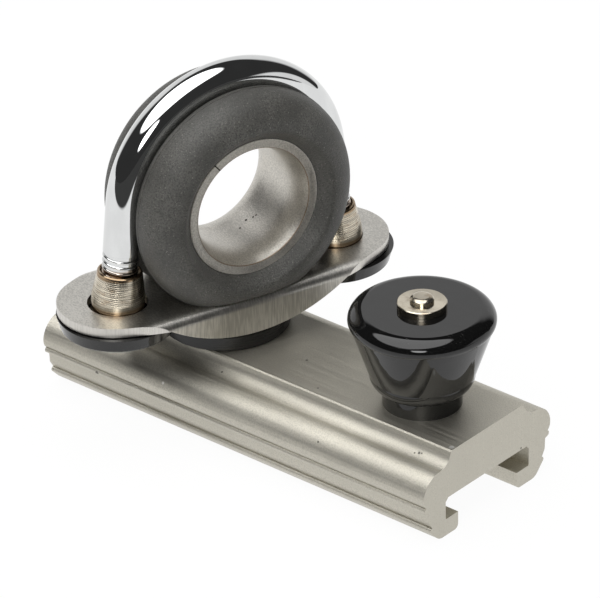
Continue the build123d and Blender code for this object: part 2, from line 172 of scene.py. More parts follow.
class GenoaDetails(bpy.types.PropertyGroup):
    thread_pitch: length("Thread pitch", "Pitch of the U-bolt's threads", 1.25)
    rod_radius: length("Rod radius", "Radius of the U-bolt's rod and of its threads' crests", 3.7)
    thread_depth: length("Thread depth", "How far the threads are cut into the rod", 0.32)
    thread_bead: length("Thread turn", "Radius of the rounded turn of the thread", 0.34)
    nut_radius: length("Nut radius", "Radius of a sleeve nut at the plate", 5.35)
    nut_top_radius: length("Nut top radius", "Radius of a sleeve nut at its mouth", 4.5)
    tool_pitch: length("Tool mark pitch", "Pitch of the turning marks on the sleeve nuts", 0.38)
    tool_bead: length("Tool mark", "Radius of a turning mark's ridge", 0.09)
    spring_wire: length("Spring wire", "Radius of the plunger spring's wire", 0.44)
    crease: length("Crease", "Radius of the fine moulding line on the bullseye's lobes", 0.1)


class GenoaStage(bpy.types.PropertyGroup):
    floor: colour("Floor", "Colour of the floor", "#F4F4F3")
    overhead: bpy.props.FloatProperty(
        name="Overhead", description="Strength of the large soft box overhead", min=0, default=3.0)
    front: bpy.props.FloatProperty(
        name="Front", description="Strength of the small soft box beside the camera", min=0, default=7.0)
    cards: bpy.props.FloatProperty(
        name="Cards", description="Strength of the pale card and of the backdrop", min=0, default=0.88)
    room: bpy.props.FloatProperty(
        name="Room", description="Strength of the dark room", min=0, default=0.035)
    sheet_reach: length("Sheet's reach", "How far the white sheet reaches towards the camera", 150)


def add(tree, kind, inputs=None, **settings):
    """Adds a node. Settings are its attributes; an input is set to a value or linked to a socket."""
    made = tree.nodes.new(kind)
    for name, value in settings.items():
        setattr(made, name, value)
    for socket, value in (inputs or {}).items():
        if isinstance(value, bpy.types.NodeSocket):
            tree.links.new(value, made.inputs[socket])
        else:
            made.inputs[socket].default_value = value
    return made


def empty_finish(name):
    """Empty material and the Object coordinates that its patterns use."""
    finish = bpy.data.materials.new(f"{name}_finish")
    finish.use_nodes = True
    tree = finish.node_tree
    tree.nodes.clear()
    place = add(tree, "ShaderNodeTexCoord").outputs["Object"]
    return finish, tree, place


def new_finish(name, metallic=0.0):
    """Material with one shader, its node tree and the Object coordinates."""
    finish, tree, place = empty_finish(name)
    shader = add(tree, "ShaderNodeBsdfPrincipled", {"Metallic": metallic})
    add(tree, "ShaderNodeOutputMaterial", {"Surface": shader.outputs["BSDF"]})
    return finish, tree, shader, place


def speckle(tree, place, size, detail=2.0, stretch=(1, 1, 1)):
    """Random pattern with marks of that size in mm, longer by stretch along each axis."""
    scale = [1 / s for s in stretch]
    placed = add(tree, "ShaderNodeMapping", {"Vector": place, "Scale": scale}).outputs["Vector"]
    noise = add(tree, "ShaderNodeTexNoise", {
        "Vector": placed, "Scale": 1 / (size * MM), "Detail": detail})
    return noise.outputs["Fac"]


def ramp(tree, value, low, high, to_low=0.0, to_high=1.0):
    """Maps the span low to high of a value to another span, with soft ends."""
    mapped = add(tree, "ShaderNodeMapRange", {
        "Value": value, "From Min": low, "From Max": high, "To Min": to_low, "To Max": to_high},
        interpolation_type="SMOOTHSTEP")
    return mapped.outputs["Result"]


def blend_colours(tree, factor, first, second):
    mixed = add(tree, "ShaderNodeMix", {"Factor": factor}, data_type="RGBA")
    for socket, value in ((6, first), (7, second)):
        if isinstance(value, bpy.types.NodeSocket):
            tree.links.new(value, mixed.inputs[socket])
        else:
            mixed.inputs[socket].default_value = (*value, 1)
    return mixed.outputs[2]


def combine(tree, operation, first, second=0.0):
    inputs = {0: first, 1: second}
    return add(tree, "ShaderNodeMath", inputs, operation=operation).outputs[0]


def vector_value(tree, operation, first, second=(0, 0, 0), output="Value"):
    """Vector maths on two vectors, such as their distance or dot product."""
    return add(tree, "ShaderNodeVectorMath", {0: first, 1: second}, operation=operation).outputs[output]


def mingle(tree, first, second, share_of_first):
    """Two patterns added in shares that make 1."""
    return combine(
        tree, "ADD", combine(tree, "MULTIPLY", first, share_of_first),
        combine(tree, "MULTIPLY", second, 1 - share_of_first))


def spots(tree, place, marks):
    """1 inside small round marks and 0 outside; each mark is (x, y, z, radius) in mm."""
    covered = None
    for x, y, z, radius in marks:
        away = vector_value(tree, "DISTANCE", place, (x * MM, y * MM, z * MM))
        mark = ramp(tree, away, 0.5 * radius * MM, radius * MM, 1.0, 0.0)
        covered = mark if covered is None else combine(tree, "MAXIMUM", covered, mark)
    return covered


def relief(tree, shader, height, depth, strength=1.0):
    """Fine surface texture: height 0 to 1 stands for depth in mm."""
    bump = add(tree, "ShaderNodeBump", {"Height": height, "Distance": depth * MM, "Strength": strength})
    tree.links.new(bump.outputs["Normal"], shader.inputs["Normal"])


def facing(tree, axis):
    """1 on faces square to the axis and 0 on the others."""
    normal = add(tree, "ShaderNodeNewGeometry").outputs["True Normal"]
    along = add(tree, "ShaderNodeSeparateXYZ", {"Vector": normal}).outputs[axis]
    return ramp(tree, combine(tree, "ABSOLUTE", along), 0.8, 0.95)


def level_band(tree, place, height, half_width):
    """1 in a level band at a height in mm, with soft edges."""
    z = add(tree, "ShaderNodeSeparateXYZ", {"Vector": place}).outputs["Z"]
    away = combine(tree, "ABSOLUTE", combine(tree, "SUBTRACT", z, height * MM))
    return ramp(tree, away, 0.4 * half_width * MM, half_width * MM, 1.0, 0.0)


def darker(rgb, factor):
    return [c * factor for c in rgb]


def shaded(tree, factor, rgb, shade):
    """The colour where the pattern is high, and that share of it where it is low."""
    return blend_colours(tree, factor, darker(rgb, shade), rgb)


def link(tree, shader, **sockets):
    for name, source in sockets.items():
        tree.links.new(source, shader.inputs[name.replace("_", " ")])


# Nicks and dirt that the photograph shows on the slider: x, y, z and radius in mm
SLIDER_NICKS = (
    (-35.51, -19.42, 8.19, 0.55), (42.71, -12.74, 16.06, 0.36), (41.8, -13.0, 15.85, 0.24),
    (43.3, -12.6, 16.15, 0.24), (5.48, -2.26, 18.5, 0.35), (14.19, -9.24, 18.5, 0.28),
    (22.11, -18.76, 13.55, 0.3), (49.6, 10.53, 8.85, 0.3), (-7.58, -13.04, 15.84, 0.3),
)
SLIDER_GLINTS = ((-17.69, -19.42, 12.48, 0.4), (48.8, -10.2, 18.5, 0.7))


def anodised_aluminium(finishes):
    """Extruded 6061, bead-blasted and clear anodised: a soft satin with a fine grain."""
    finish, tree, shader, place = new_finish("anodised_aluminium", metallic=1.0)
    # blasting grit of 0.1 mm is drawn 0.28 mm coarse, so that it shows
    grit = speckle(tree, place, 0.28, 3.0)
    # faint die lines of the extrusion run along X
    die_lines = speckle(tree, place, 0.5, 3.0, (120, 1, 1))
    cloud = speckle(tree, place, 14.0, 3.0)
    nicks = spots(tree, place, SLIDER_NICKS)
    glints = spots(tree, place, SLIDER_GLINTS)
    tone = mingle(tree, die_lines, cloud, 0.6)
    base = shaded(tree, ramp(tree, tone, 0.35, 0.65), finishes.anodised, 0.88)
    base = blend_colours(tree, ramp(tree, grit, 0.56, 0.36), base, darker(finishes.anodised, 0.82))
    # the saw left upright lines on the two end faces
    saw_lines = ramp(tree, speckle(tree, place, 0.3, 2.0, (1, 1, 60)), 0.35, 0.65)
    sawn = combine(tree, "MULTIPLY", saw_lines, facing(tree, "X"))
    base = blend_colours(tree, sawn, base, darker(finishes.anodised, 0.9))
    base = blend_colours(tree, combine(tree, "MULTIPLY", nicks, 0.75), base, finishes.dirt)
    base = blend_colours(tree, glints, base, srgb("#F2F0EA"))
    roughness = ramp(tree, die_lines, 0.3, 0.7, finishes.satin - 0.05, finishes.satin + 0.05)
    link(tree, shader, Base_Color=base, Roughness=roughness)
    height = combine(tree, "SUBTRACT", grit, nicks)
    relief(tree, shader, height, 0.07, 0.7)
    return finish


def plate_place(tree, place):
    """Object coordinates turned to the fairlead's own axes: X forward, Y along the plate."""
    moved = add(tree, "ShaderNodeMapping", {
        "Vector": place, "Location": (-SWIVEL_X * MM, 0, 0)}, vector_type="POINT").outputs["Vector"]
    return add(tree, "ShaderNodeMapping", {
        "Vector": moved, "Rotation": (0, 0, math.radians(SWIVEL_ANGLE))}).outputs["Vector"]


def pressed_stainless(finishes):
    """316 sheet, pressed and tumbled: satin with upright draw marks on the flanges."""
    finish, tree, shader, place = new_finish("pressed_stainless", metallic=1.0)
    own = plate_place(tree, place)
    # draw marks 0.3 mm wide, long in the bending direction; on the flat top they read as tumbled grain
    marks = speckle(tree, own, 0.3, 4.0, (1.5, 1, 14))
    cloud = speckle(tree, own, 9.0, 4.0)
    base = shaded(tree, ramp(tree, mingle(tree, marks, cloud, 0.7), 0.4, 0.6), finishes.plate, 0.74)
    # the sheared edge is polished by the tumbling; it stands upright and lies inside the flanges' faces
    normal = add(tree, "ShaderNodeNewGeometry").outputs["True Normal"]
    upright = add(tree, "ShaderNodeSeparateXYZ", {"Vector": normal}).outputs["Z"]
    edge = ramp(tree, combine(tree, "ABSOLUTE", upright), 0.2, 0.6, 1.0, 0.0)
    across = combine(tree, "ABSOLUTE", add(tree, "ShaderNodeSeparateXYZ", {"Vector": own}).outputs["X"])
    within = ramp(tree, across, *(offset * MM for offset in FLANGE_FACES), 1.0, 0.0)
    edge = combine(tree, "MULTIPLY", edge, within)
    base = blend_colours(tree, combine(tree, "MULTIPLY", edge, 0.5), base, srgb("#CFCCC6"))
    roughness = ramp(tree, cloud, 0.3, 0.7, 0.3, 0.4)
    roughness = combine(tree, "SUBTRACT", roughness, combine(tree, "MULTIPLY", edge, 0.04))
    link(tree, shader, Base_Color=base, Roughness=roughness)
    relief(tree, shader, marks, 0.022, 0.6)
    return finish


def polished_stainless(finishes):
    """316 rod, mirror polished: sharp reflections with only the faintest smears."""
    finish, tree, shader, place = new_finish("polished_stainless", metallic=1.0)
    smears = speckle(tree, place, 3.0, 4.0, (1, 1, 2))
    base = shaded(tree, ramp(tree, smears, 0.35, 0.75), finishes.polished, 0.93)
    # rust from the nuts' mouths has crept into the threads
    rusty = combine(tree, "MULTIPLY", level_band(tree, place, *THREAD_RUST), 0.6)
    base = blend_colours(tree, rusty, base, finishes.tarnish)
    link(tree, shader, Base_Color=base, Roughness=ramp(tree, smears, 0.4, 0.8, 0.02, 0.07))
    return finish


def turned_stainless(finishes):
    """Turned 316, slightly stained by salt: bright, warm, with fine rings from the tool."""
    finish, tree, shader, place = new_finish("turned_stainless", metallic=1.0)
    # rings of the lathe tool, 0.25 mm apart, level because every turned part here stands upright
    rings = speckle(tree, place, 0.25, 2.0, (60, 60, 1))
    stain = speckle(tree, place, 2.4, 4.0, (1, 1, 0.5))
    stained = ramp(tree, stain, 0.52, 0.7, 0.0, 0.35)
    # salt has browned the nuts where they leave the plate and round their mouths
    for band in NUT_STAINS:
        browned = combine(tree, "MULTIPLY", level_band(tree, place, *band), 0.7)
        stained = combine(tree, "MAXIMUM", stained, browned)
    base = shaded(tree, ramp(tree, rings, 0.4, 0.6), finishes.turned, 0.66)
    base = blend_colours(tree, stained, base, finishes.tarnish)
    link(tree, shader, Base_Color=base, Roughness=ramp(tree, stain, 0.3, 0.7, 0.15, 0.27))
    relief(tree, shader, rings, 0.022, 0.6)
    return finish


# Pits in the liner's throat: x, y, z and radius in mm
LINER_PITS = (
    (-16.09, 4.85, 39.71, 0.35), (-14.97, 5.72, 40.41, 0.3), (-14.56, 6.17, 40.81, 0.26),
    (-15.82, 2.68, 38.92, 0.3),
)
# The seam across the liner's near rim: its middle, its width, its reach and how steeply it slants
LINER_SEAM = (-9.05, -11.83, 61.26)
LINER_SEAM_WIDTH = 0.35
LINER_SEAM_REACH = 2.2
LINER_SEAM_SLANT = 0.85
# The liner's near rim: the radii and depth of its dished face, the dirt in it, and where it starts
RIM_DISH = (12.6, 14.9)
RIM_DISH_DEPTH = 0.45
RIM_DIRT_RADIUS = 12.85
RIM_START = (11.9, 12.0)


def satin_stainless(finishes):
    """Pressed 316 tube, fine blasted: satin, dull where the rope has not rubbed it."""
    finish, tree, shader, place = new_finish("satin_stainless", metallic=1.0)
    grit = speckle(tree, place, 0.3, 3.0)
    cloud = speckle(tree, place, 5.0, 3.0)
    base = shaded(tree, ramp(tree, mingle(tree, grit, cloud, 0.7), 0.4, 0.58), finishes.liner, 0.76)
    # dirt sits in a thin ring at the near rim's inner edge
    own = plate_place(tree, place)
    centred = add(tree, "ShaderNodeMapping", {
        "Vector": own, "Location": (-U_BOLT_OFFSET * MM, 0, -EYE_CENTRE * MM), "Scale": (0, 1, 1)})
    radius = vector_value(tree, "LENGTH", centred.outputs["Vector"])
    forward = add(tree, "ShaderNodeSeparateXYZ", {"Vector": own}).outputs["X"]
    rim_edge = combine(tree, "ABSOLUTE", combine(tree, "SUBTRACT", radius, RIM_DIRT_RADIUS * MM))
    rim_side = ramp(tree, forward, *(offset * MM for offset in RIM_START))
    dirty = combine(tree, "MULTIPLY", ramp(tree, rim_edge, 0.06 * MM, 0.2 * MM, 1.0, 0.0), rim_side)
    base = blend_colours(tree, combine(tree, "MULTIPLY", dirty, 0.7), base, finishes.tarnish)
    base = blend_colours(tree, spots(tree, place, LINER_PITS), base, finishes.dirt)
    # the tube's butt seam: a short dark line across the rim
    away = vector_value(tree, "SUBTRACT", place, [c * MM for c in LINER_SEAM], "Vector")
    turn = math.radians(SWIVEL_ANGLE)
    seam_normal = Vector((math.sin(turn), math.cos(turn), LINER_SEAM_SLANT)).normalized()
    aside = combine(tree, "ABSOLUTE", vector_value(tree, "DOT_PRODUCT", away, seam_normal))
    width, reach = LINER_SEAM_WIDTH * MM, LINER_SEAM_REACH * MM
    line = ramp(tree, aside, 0.3 * width, 0.5 * width, 1.0, 0.0)
    end = ramp(tree, vector_value(tree, "LENGTH", away), 0.9 * reach, reach, 1.0, 0.0)
    base = blend_colours(tree, combine(tree, "MULTIPLY", line, end), base, finishes.dirt)
    link(tree, shader, Base_Color=base, Roughness=ramp(tree, cloud, 0.3, 0.7, 0.3, 0.4))
    # the near rim is dished a little, lowest at its inner edge
    grit_depth = 0.1
    dished = combine(tree, "MULTIPLY", ramp(tree, radius, *(edge * MM for edge in RIM_DISH)), rim_side)
    dished = combine(tree, "MULTIPLY", dished, RIM_DISH_DEPTH / grit_depth)
    relief(tree, shader, combine(tree, "ADD", grit, dished), grit_depth, 0.8)
    return finish


def spring_steel(finishes):
    """Drawn 302 wire: lightly streaked along its length, half bright."""
    finish, tree, shader, place = new_finish("spring_steel", metallic=1.0)
    streaks = speckle(tree, place, 0.2, 2.0, (8, 8, 1))
    base = shaded(tree, streaks, finishes.spring, 0.7)
    link(tree, shader, Base_Color=base, Roughness=ramp(tree, streaks, 0.3, 0.7, 0.22, 0.34))
    return finish


def moulded_nylon(finishes):
    """Glass-filled nylon from a spark-eroded mould: dark grey, matt, with fibres at its skin."""
    finish, tree, shader, place = new_finish("moulded_nylon")
    # mould texture of 0.15 mm, drawn 0.32 mm coarse
    texture = speckle(tree, place, 0.32, 3.0)
    cloud = speckle(tree, place, 7.0, 3.0)
    base = shaded(tree, ramp(tree, cloud, 0.35, 0.65), finishes.nylon, 0.7)
    base = blend_colours(tree, ramp(tree, texture, 0.55, 0.38), base, darker(finishes.nylon, 0.45))
    # ends of fibres and a little dust: pale specks 0.2 mm across
    specks = speckle(tree, place, 0.3, 1.0)
    base = blend_colours(tree, ramp(tree, specks, 0.66, 0.74, 0.0, 0.3), base, srgb("#A8A59C"))
    link(tree, shader, Base_Color=base, Roughness=ramp(tree, texture, 0.3, 0.7, 0.42, 0.56))
    relief(tree, shader, texture, 0.16, 0.9)
    return finish


def acetal_bearing(finishes):
    """Machined acetal: black, waxy, half matt with faint turning rings."""
    finish, tree, shader, place = new_finish("acetal_bearing")
    rings = speckle(tree, place, 0.3, 2.0, (40, 40, 1))
    base = shaded(tree, rings, finishes.acetal, 0.6)
    link(tree, shader, Base_Color=base, Roughness=ramp(tree, rings, 0.3, 0.7, 0.26, 0.36))
    relief(tree, shader, rings, 0.02, 0.4)
    return finish


def gloss_nylon(finishes):
    """Nylon from a polished mould: black and glossy, a little wavy, with hairline scuffs."""
    finish, tree, shader, place = new_finish("gloss_nylon")
    waves = speckle(tree, place, 4.0, 1.0)
    # scuffs 0.25 mm wide and a few mm long, only here and there
    scuffs = speckle(tree, place, 0.25, 2.0, (18, 1, 1))
    patches = speckle(tree, place, 6.0, 2.0)
    scuffed = combine(tree, "MULTIPLY", ramp(tree, scuffs, 0.62, 0.72), ramp(tree, patches, 0.5, 0.65))
    base = blend_colours(tree, scuffed, finishes.gloss, srgb("#2A2A29"))
    link(tree, shader, Base_Color=base, Roughness=ramp(tree, scuffed, 0.0, 1.0, 0.035, 0.25))
    relief(tree, shader, waves, 0.12, 0.25)
    return finish


def finish_of(builder):
    """The finish from its builder, made once and then shared."""
    made = bpy.data.materials.get(f"{builder.__name__}_finish")
    return made or builder(bpy.context.scene.genoa_finishes)


def dress(builder, *names):
    """Gives the finish to CAD nodes."""
    finish = finish_of(builder)
    for name in names:
        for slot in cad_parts[name].material_slots:
            slot.material = finish


def bead_tree(name, *lengths):
    """Starts a tree that runs a bead along a path: its inputs are these lengths, the bead and a finish."""
    tree = bpy.data.node_groups.new(name, "GeometryNodeTree")
    for size in (*lengths, "Bead Radius"):
        tree.interface.new_socket(size, in_out="INPUT", socket_type="NodeSocketFloat")
    tree.interface.new_socket("Finish", in_out="INPUT", socket_type="NodeSocketMaterial")
    tree.interface.new_socket("Geometry", in_out="OUTPUT", socket_type="NodeSocketGeometry")
    return tree, add(tree, "NodeGroupInput").outputs


def run_bead(tree, path, sizes):
    """Ends a tree: the bead along the path, smooth, as real geometry with its material."""
    bead = add(tree, "GeometryNodeCurvePrimitiveCircle", {
        "Resolution": 8, "Radius": sizes["Bead Radius"]})
    wall = add(tree, "GeometryNodeCurveToMesh", {
        "Curve": path.outputs["Curve"], "Profile Curve": bead.outputs["Curve"], "Fill Caps": True})
    smooth = add(tree, "GeometryNodeSetShadeSmooth", {"Geometry": wall.outputs["Mesh"]})
    real = add(tree, "GeometryNodeRealizeInstances", {"Geometry": smooth.outputs["Geometry"]})
    dressed = add(tree, "GeometryNodeSetMaterial", {
        "Geometry": real.outputs["Geometry"], "Material": sizes["Finish"]})
    add(tree, "NodeGroupOutput", {"Geometry": dressed.outputs["Geometry"]})
    return tree


def ridge_tree():
    """Geometry Nodes: a bead wound in a helix whose radius may change on the way up."""
    tree, sizes = bead_tree("helical_ridge", "Turns", "Bottom Radius", "Top Radius", "Height")
    path = add(tree, "GeometryNodeCurveSpiral", {
        "Resolution": 48, "Rotations": sizes["Turns"], "Start Radius": sizes["Bottom Radius"],
        "End Radius": sizes["Top Radius"], "Height": sizes["Height"]})
    return run_bead(tree, path, sizes)


def ring_tree():
    """Geometry Nodes: a bead along part of a circle that is open towards -Z."""
    tree, sizes = bead_tree("open_ring", "Radius", "Open Angle")
    path = add(tree, "GeometryNodeCurveArc", {
        "Resolution": 128, "Radius": sizes["Radius"],
        "Start Angle": combine(tree, "MULTIPLY", sizes["Open Angle"], 0.5),
        "Sweep Angle": combine(tree, "SUBTRACT", math.tau, sizes["Open Angle"])}, mode="RADIUS")
    return run_bead(tree, path, sizes)


def piece_from_tree(name, tree, values, place, body):
    """Evaluates a tree, keeps the result as a plain mesh at its place, and lets it ride on a body."""
    holder = bpy.data.objects.new(name, bpy.data.meshes.new(name))
    bpy.context.scene.collection.objects.link(holder)
    modifier = holder.modifiers.new(tree.name, "NODES")
    modifier.node_group = tree
    for socket in tree.interface.items_tree:
        if socket.in_out == "INPUT":
            modifier[socket.identifier] = values[socket.name]
    evaluated = holder.evaluated_get(bpy.context.evaluated_depsgraph_get())
    mesh = bpy.data.meshes.new_from_object(evaluated)
    holder.modifiers.clear()
    if not mesh.polygons:
        raise RuntimeError(f"{name} came out of its node tree with no faces")
    mesh.transform(place)
    holder.data = mesh
    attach(holder, body)
    return holder


def fairlead_place(x, y, z):
    """Matrix of a place in the swivel's own frame, given in mm."""
    turned = Matrix.Rotation(math.radians(-SWIVEL_ANGLE), 4, "Z")
    moved = Matrix.Translation((x * MM, y * MM, z * MM))
    return Matrix.Translation((SWIVEL_X * MM, 0, 0)) @ turned @ moved


def leg_place(sign, height):
    """Matrix of a height on a leg of the U-bolt, with Z along the leg."""
    lean = Matrix.Rotation(sign * LEG_SPREAD, 4, "X")
    raised = Matrix.Translation((0, 0, (height - PLATE_TOP) * MM))
    return fairlead_place(U_BOLT_OFFSET, sign * LEG_FOOT, PLATE_TOP) @ lean @ raised


def u_bolt_path(thread_root, rod):
    """Points and radii from leg's end to leg's end over the hoop, in mm, about the hoop's centre."""
    shoulder = 0.2
    leg = [(LEG_BOTTOM, thread_root), (THREAD_TOP, thread_root), (THREAD_TOP + shoulder, rod)]
    rising = []
    for height, radius in leg:
        along = height - PLATE_TOP
        rising.append((
            LEG_FOOT - along * math.sin(LEG_SPREAD),
            PLATE_TOP - HOOP_CENTRE + along * math.cos(LEG_SPREAD), radius))
    steps = 120
    turns = [LEG_SPREAD + (math.pi - 2 * LEG_SPREAD) * i / steps for i in range(steps + 1)]
    hoop = [(HOOP_RADIUS * math.cos(turn), HOOP_RADIUS * math.sin(turn), rod) for turn in turns]
    falling = [(-y, z, radius) for y, z, radius in reversed(rising)]
    return rising + hoop + falling


def rod_piece(name, path, place, builder):
    """Round rod along points (y, z, radius) in mm, kept as a plain mesh at its place."""
    curve = bpy.data.curves.new(name, "CURVE")
    curve.dimensions = "3D"
    curve.bevel_depth = MM
    curve.bevel_resolution = 16
    curve.use_fill_caps = True
    spline = curve.splines.new("POLY")
    spline.points.add(len(path) - 1)
    for point, (y, z, radius) in zip(spline.points, path):
        point.co = (0, y * MM, z * MM, 1)
        point.radius = radius
    bent = bpy.data.objects.new(name, curve)
    mesh = bpy.data.meshes.new_from_object(bent)
    bpy.data.objects.remove(bent)
    return keep_mesh(name, mesh, place, builder)


def turned_piece(name, outline, place, builder):
    """Closed outline of (radius, height) in mm turned about Z, kept as a plain mesh at its place."""
    steps = 128
    corners = len(outline)
    vertices = []
    for step in range(steps):
        turn = math.tau * step / steps
        for radius, height in outline:
            vertices.append((radius * math.cos(turn) * MM, radius * math.sin(turn) * MM, height * MM))
    faces = []
    for step in range(steps):
        here, after = step * corners, (step + 1) % steps * corners
        for corner in range(corners):
            following = (corner + 1) % corners
            faces.append((here + corner, after + corner, after + following, here + following))
    mesh = bpy.data.meshes.new(name)
    mesh.from_pydata(vertices, [], faces)
    return keep_mesh(name, mesh, place, builder)


def keep_mesh(name, mesh, place, builder):
    """Fairlead piece of a plain mesh: smooth but for its corners, at its place, with its finish."""
    mesh.transform(place)
    mesh.shade_smooth()
    mesh.set_sharp_from_angle(angle=SHARP_ANGLE)
    mesh.materials.clear()
    mesh.materials.append(finish_of(builder))
    holder = bpy.data.objects.new(name, mesh)
    bpy.context.scene.collection.objects.link(holder)
    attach(holder, "fairlead")
    return holder


def smooth_step(value, span):
    """0 below the span, 1 above it and a soft rise between."""
    low, high = span
    risen = min(max((value - low) / (high - low), 0), 1)
    return risen ** 2 * (3 - 2 * risen)


def bullseye_mesh(place):
    """The ring's solid in its own frame, X along the eye: lobes set apart, groove deepened."""
    shell = bmesh.new()
    shell.from_mesh(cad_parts["bullseye"].data)
    bmesh.ops.remove_doubles(shell, verts=shell.verts, dist=0.001 * MM)
    shell.transform(place.inverted())
    foot = PLATE_TOP - EYE_CENTRE
    for vertex in shell.verts:
        x, y, z = vertex.co / MM
        offset, radius = abs(x), math.hypot(y, z)
        lobe = "near" if x > 0 else "far"
        shift = LOBE_SHIFT[lobe] * smooth_step(offset, SHIFT_OFFSETS) * smooth_step(radius, SHIFT_RADII)
        sink = GROOVE_SINK * (1 - smooth_step(offset, SINK_OFFSETS)) * smooth_step(radius, SINK_RADII)
        # the flat foot stays on the plate
        kept = 1 - sink * smooth_step(z - foot, FOOT_KEPT) / radius
        vertex.co = Vector((x + math.copysign(shift, x), y * kept, z * kept)) * MM
    mesh = bpy.data.meshes.new("moulded_bullseye")
    shell.to_mesh(mesh)
    shell.free()
    return mesh


class GENOA_OT_slider(bpy.types.Operator):
    """Finish the extruded slider"""
    bl_idname = "genoa.slider"
    bl_label = "Slider"

    def execute(self, context):
        dress(anodised_aluminium, "slider_body")
        return {"FINISHED"}


class GENOA_OT_swivel(bpy.types.Operator):
    """Finish the swivel's pin, washer, bush and disc"""
    bl_idname = "genoa.swivel"
    bl_label = "Swivel"

    def execute(self, context):
        dress(turned_stainless, "swivel_pin", "swivel_washer")
        dress(acetal_bearing, "swivel_bush", "swivel_disc")
        return {"FINISHED"}


class GENOA_OT_base_plate(bpy.types.Operator):
    """Finish the pressed base plate"""
    bl_idname = "genoa.base_plate"
    bl_label = "Base plate"

    def execute(self, context):
        dress(pressed_stainless, "base_plate")
        return {"FINISHED"}


class GENOA_OT_u_bolt(bpy.types.Operator):
    """Make the polished U-bolt with its spread legs, and cut the threads that show above its nuts"""
    bl_idname = "genoa.u_bolt"
    bl_label = "U-bolt"

    def execute(self, context):
        details = context.scene.genoa_details
        rod = details.rod_radius / MM
        path = u_bolt_path(rod - details.thread_depth / MM, rod)
        place = fairlead_place(U_BOLT_OFFSET, 0, HOOP_CENTRE)
        bolt = rod_piece("polished_u_bolt", path, place, polished_stainless)
        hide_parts("u_bolt")
        tree = ridge_tree()
        # the turns start inside the nut's mouth and stop below the thread's end
        inside, below = 0.8, 0.3
        bottom, top = NUT_TOP - inside, THREAD_TOP - below
        crest = details.rod_radius - details.thread_bead
        values = {
            "Turns": (top - bottom) * MM / details.thread_pitch, "Height": (top - bottom) * MM,
            "Bottom Radius": crest, "Top Radius": crest, "Bead Radius": details.thread_bead,
            "Finish": finish_of(polished_stainless),
        }
        for side, sign in SIDES.items():
            place = leg_place(sign, bottom)
            piece_from_tree(f"thread_{side}", tree, values, place, "fairlead")
        return {"FINISHED"}


class GENOA_OT_sleeve_nuts(bpy.types.Operator):
    """Make the sleeve nuts in line with the legs, with their turning marks, and finish the caps"""
    bl_idname = "genoa.sleeve_nuts"
    bl_label = "Sleeve nuts"

    def execute(self, context):
        dress(gloss_nylon, "nut_cap_left", "nut_cap_right")
        details = context.scene.genoa_details
        base, top = details.nut_radius / MM, details.nut_top_radius / MM
        bore = (details.rod_radius - details.thread_depth) / MM
        # the flange is inside the cap, the neck in the plate's hole, and the mouth is countersunk
        band_top, flange, flange_top, flange_bottom = 32.5, 6.5, 28.1, 27.6
        edge, neck_play, mouth_play, mouth_depth = 0.2, 0.15, 0.35, 0.9
        neck, mouth = base - neck_play, details.rod_radius / MM + mouth_play
        outline = (
            (bore, flange_bottom), (flange, flange_bottom), (flange, flange_top), (neck, flange_top),
            (neck, PLATE_TOP), (base, PLATE_TOP + edge), (base, band_top), (top, NUT_TOP - edge),
            (top - edge, NUT_TOP), (mouth, NUT_TOP), (bore, NUT_TOP - mouth_depth),
        )
        tree = ridge_tree()
        marks_height = (NUT_TOP - 2 * edge - band_top) * MM
        share_sunk = 0.4
        sunk = share_sunk * details.tool_bead
        values = {
            "Turns": marks_height / details.tool_pitch, "Height": marks_height,
            "Bottom Radius": details.nut_radius - sunk, "Top Radius": details.nut_top_radius - sunk,
            "Bead Radius": details.tool_bead, "Finish": finish_of(turned_stainless),
        }
        for side, sign in SIDES.items():
            nut = turned_piece(f"turned_nut_{side}", outline, leg_place(sign, 0), turned_stainless)
            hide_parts(f"sleeve_nut_{side}")
            place = leg_place(sign, band_top)
            piece_from_tree(f"turning_marks_{side}", tree, values, place, "fairlead")
        return {"FINISHED"}


class GENOA_OT_bullseye(bpy.types.Operator):
    """Make the bullseye with its moulding line on each lobe, and finish its liner"""
    bl_idname = "genoa.bullseye"
    bl_label = "Bullseye"

    def execute(self, context):
        dress(satin_stainless, "bullseye_liner")
        place = fairlead_place(U_BOLT_OFFSET, 0, EYE_CENTRE)
        ring = keep_mesh("moulded_bullseye", bullseye_mesh(place), place, moulded_nylon)
        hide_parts("bullseye")
        tree = ring_tree()
        drop = EYE_CENTRE - PLATE_TOP
        upright = Matrix.Rotation(math.pi / 2, 4, "Y")
        for lobe, (offset, radius) in MOULDING_LINES.items():
            values = {
                "Radius": radius * MM, "Open Angle": 2 * math.acos(drop / radius),
                "Bead Radius": context.scene.genoa_details.crease, "Finish": finish_of(moulded_nylon),
            }
            place = fairlead_place(U_BOLT_OFFSET + offset, 0, EYE_CENTRE) @ upright
            piece_from_tree(f"moulding_line_{lobe}", tree, values, place, "fairlead")
        return {"FINISHED"}


class GENOA_OT_plunger(bpy.types.Operator):
    """Finish the plunger stop, and wind its spring"""
    bl_idname = "genoa.plunger"
    bl_label = "Plunger stop"

    def execute(self, context):
        dress(gloss_nylon, "plunger_housing", "knob")
        dress(turned_stainless, "plunger_pin", "knob_washer")
        wire = context.scene.genoa_details.spring_wire
        values = {
            "Turns": SPRING_TURNS, "Height": (SPRING_TOP - SPRING_BOTTOM) * MM - 2 * wire,
            "Bottom Radius": SPRING_COIL * MM, "Top Radius": SPRING_COIL * MM,
            "Bead Radius": wire, "Finish": finish_of(spring_steel),
        }
        place = Matrix.Translation((PLUNGER_X * MM, 0, SPRING_BOTTOM * MM + wire))
        spring = piece_from_tree("wound_spring", ridge_tree(), values, place, "slider")
        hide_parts("plunger_spring")
        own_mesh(spring)
        return {"FINISHED"}


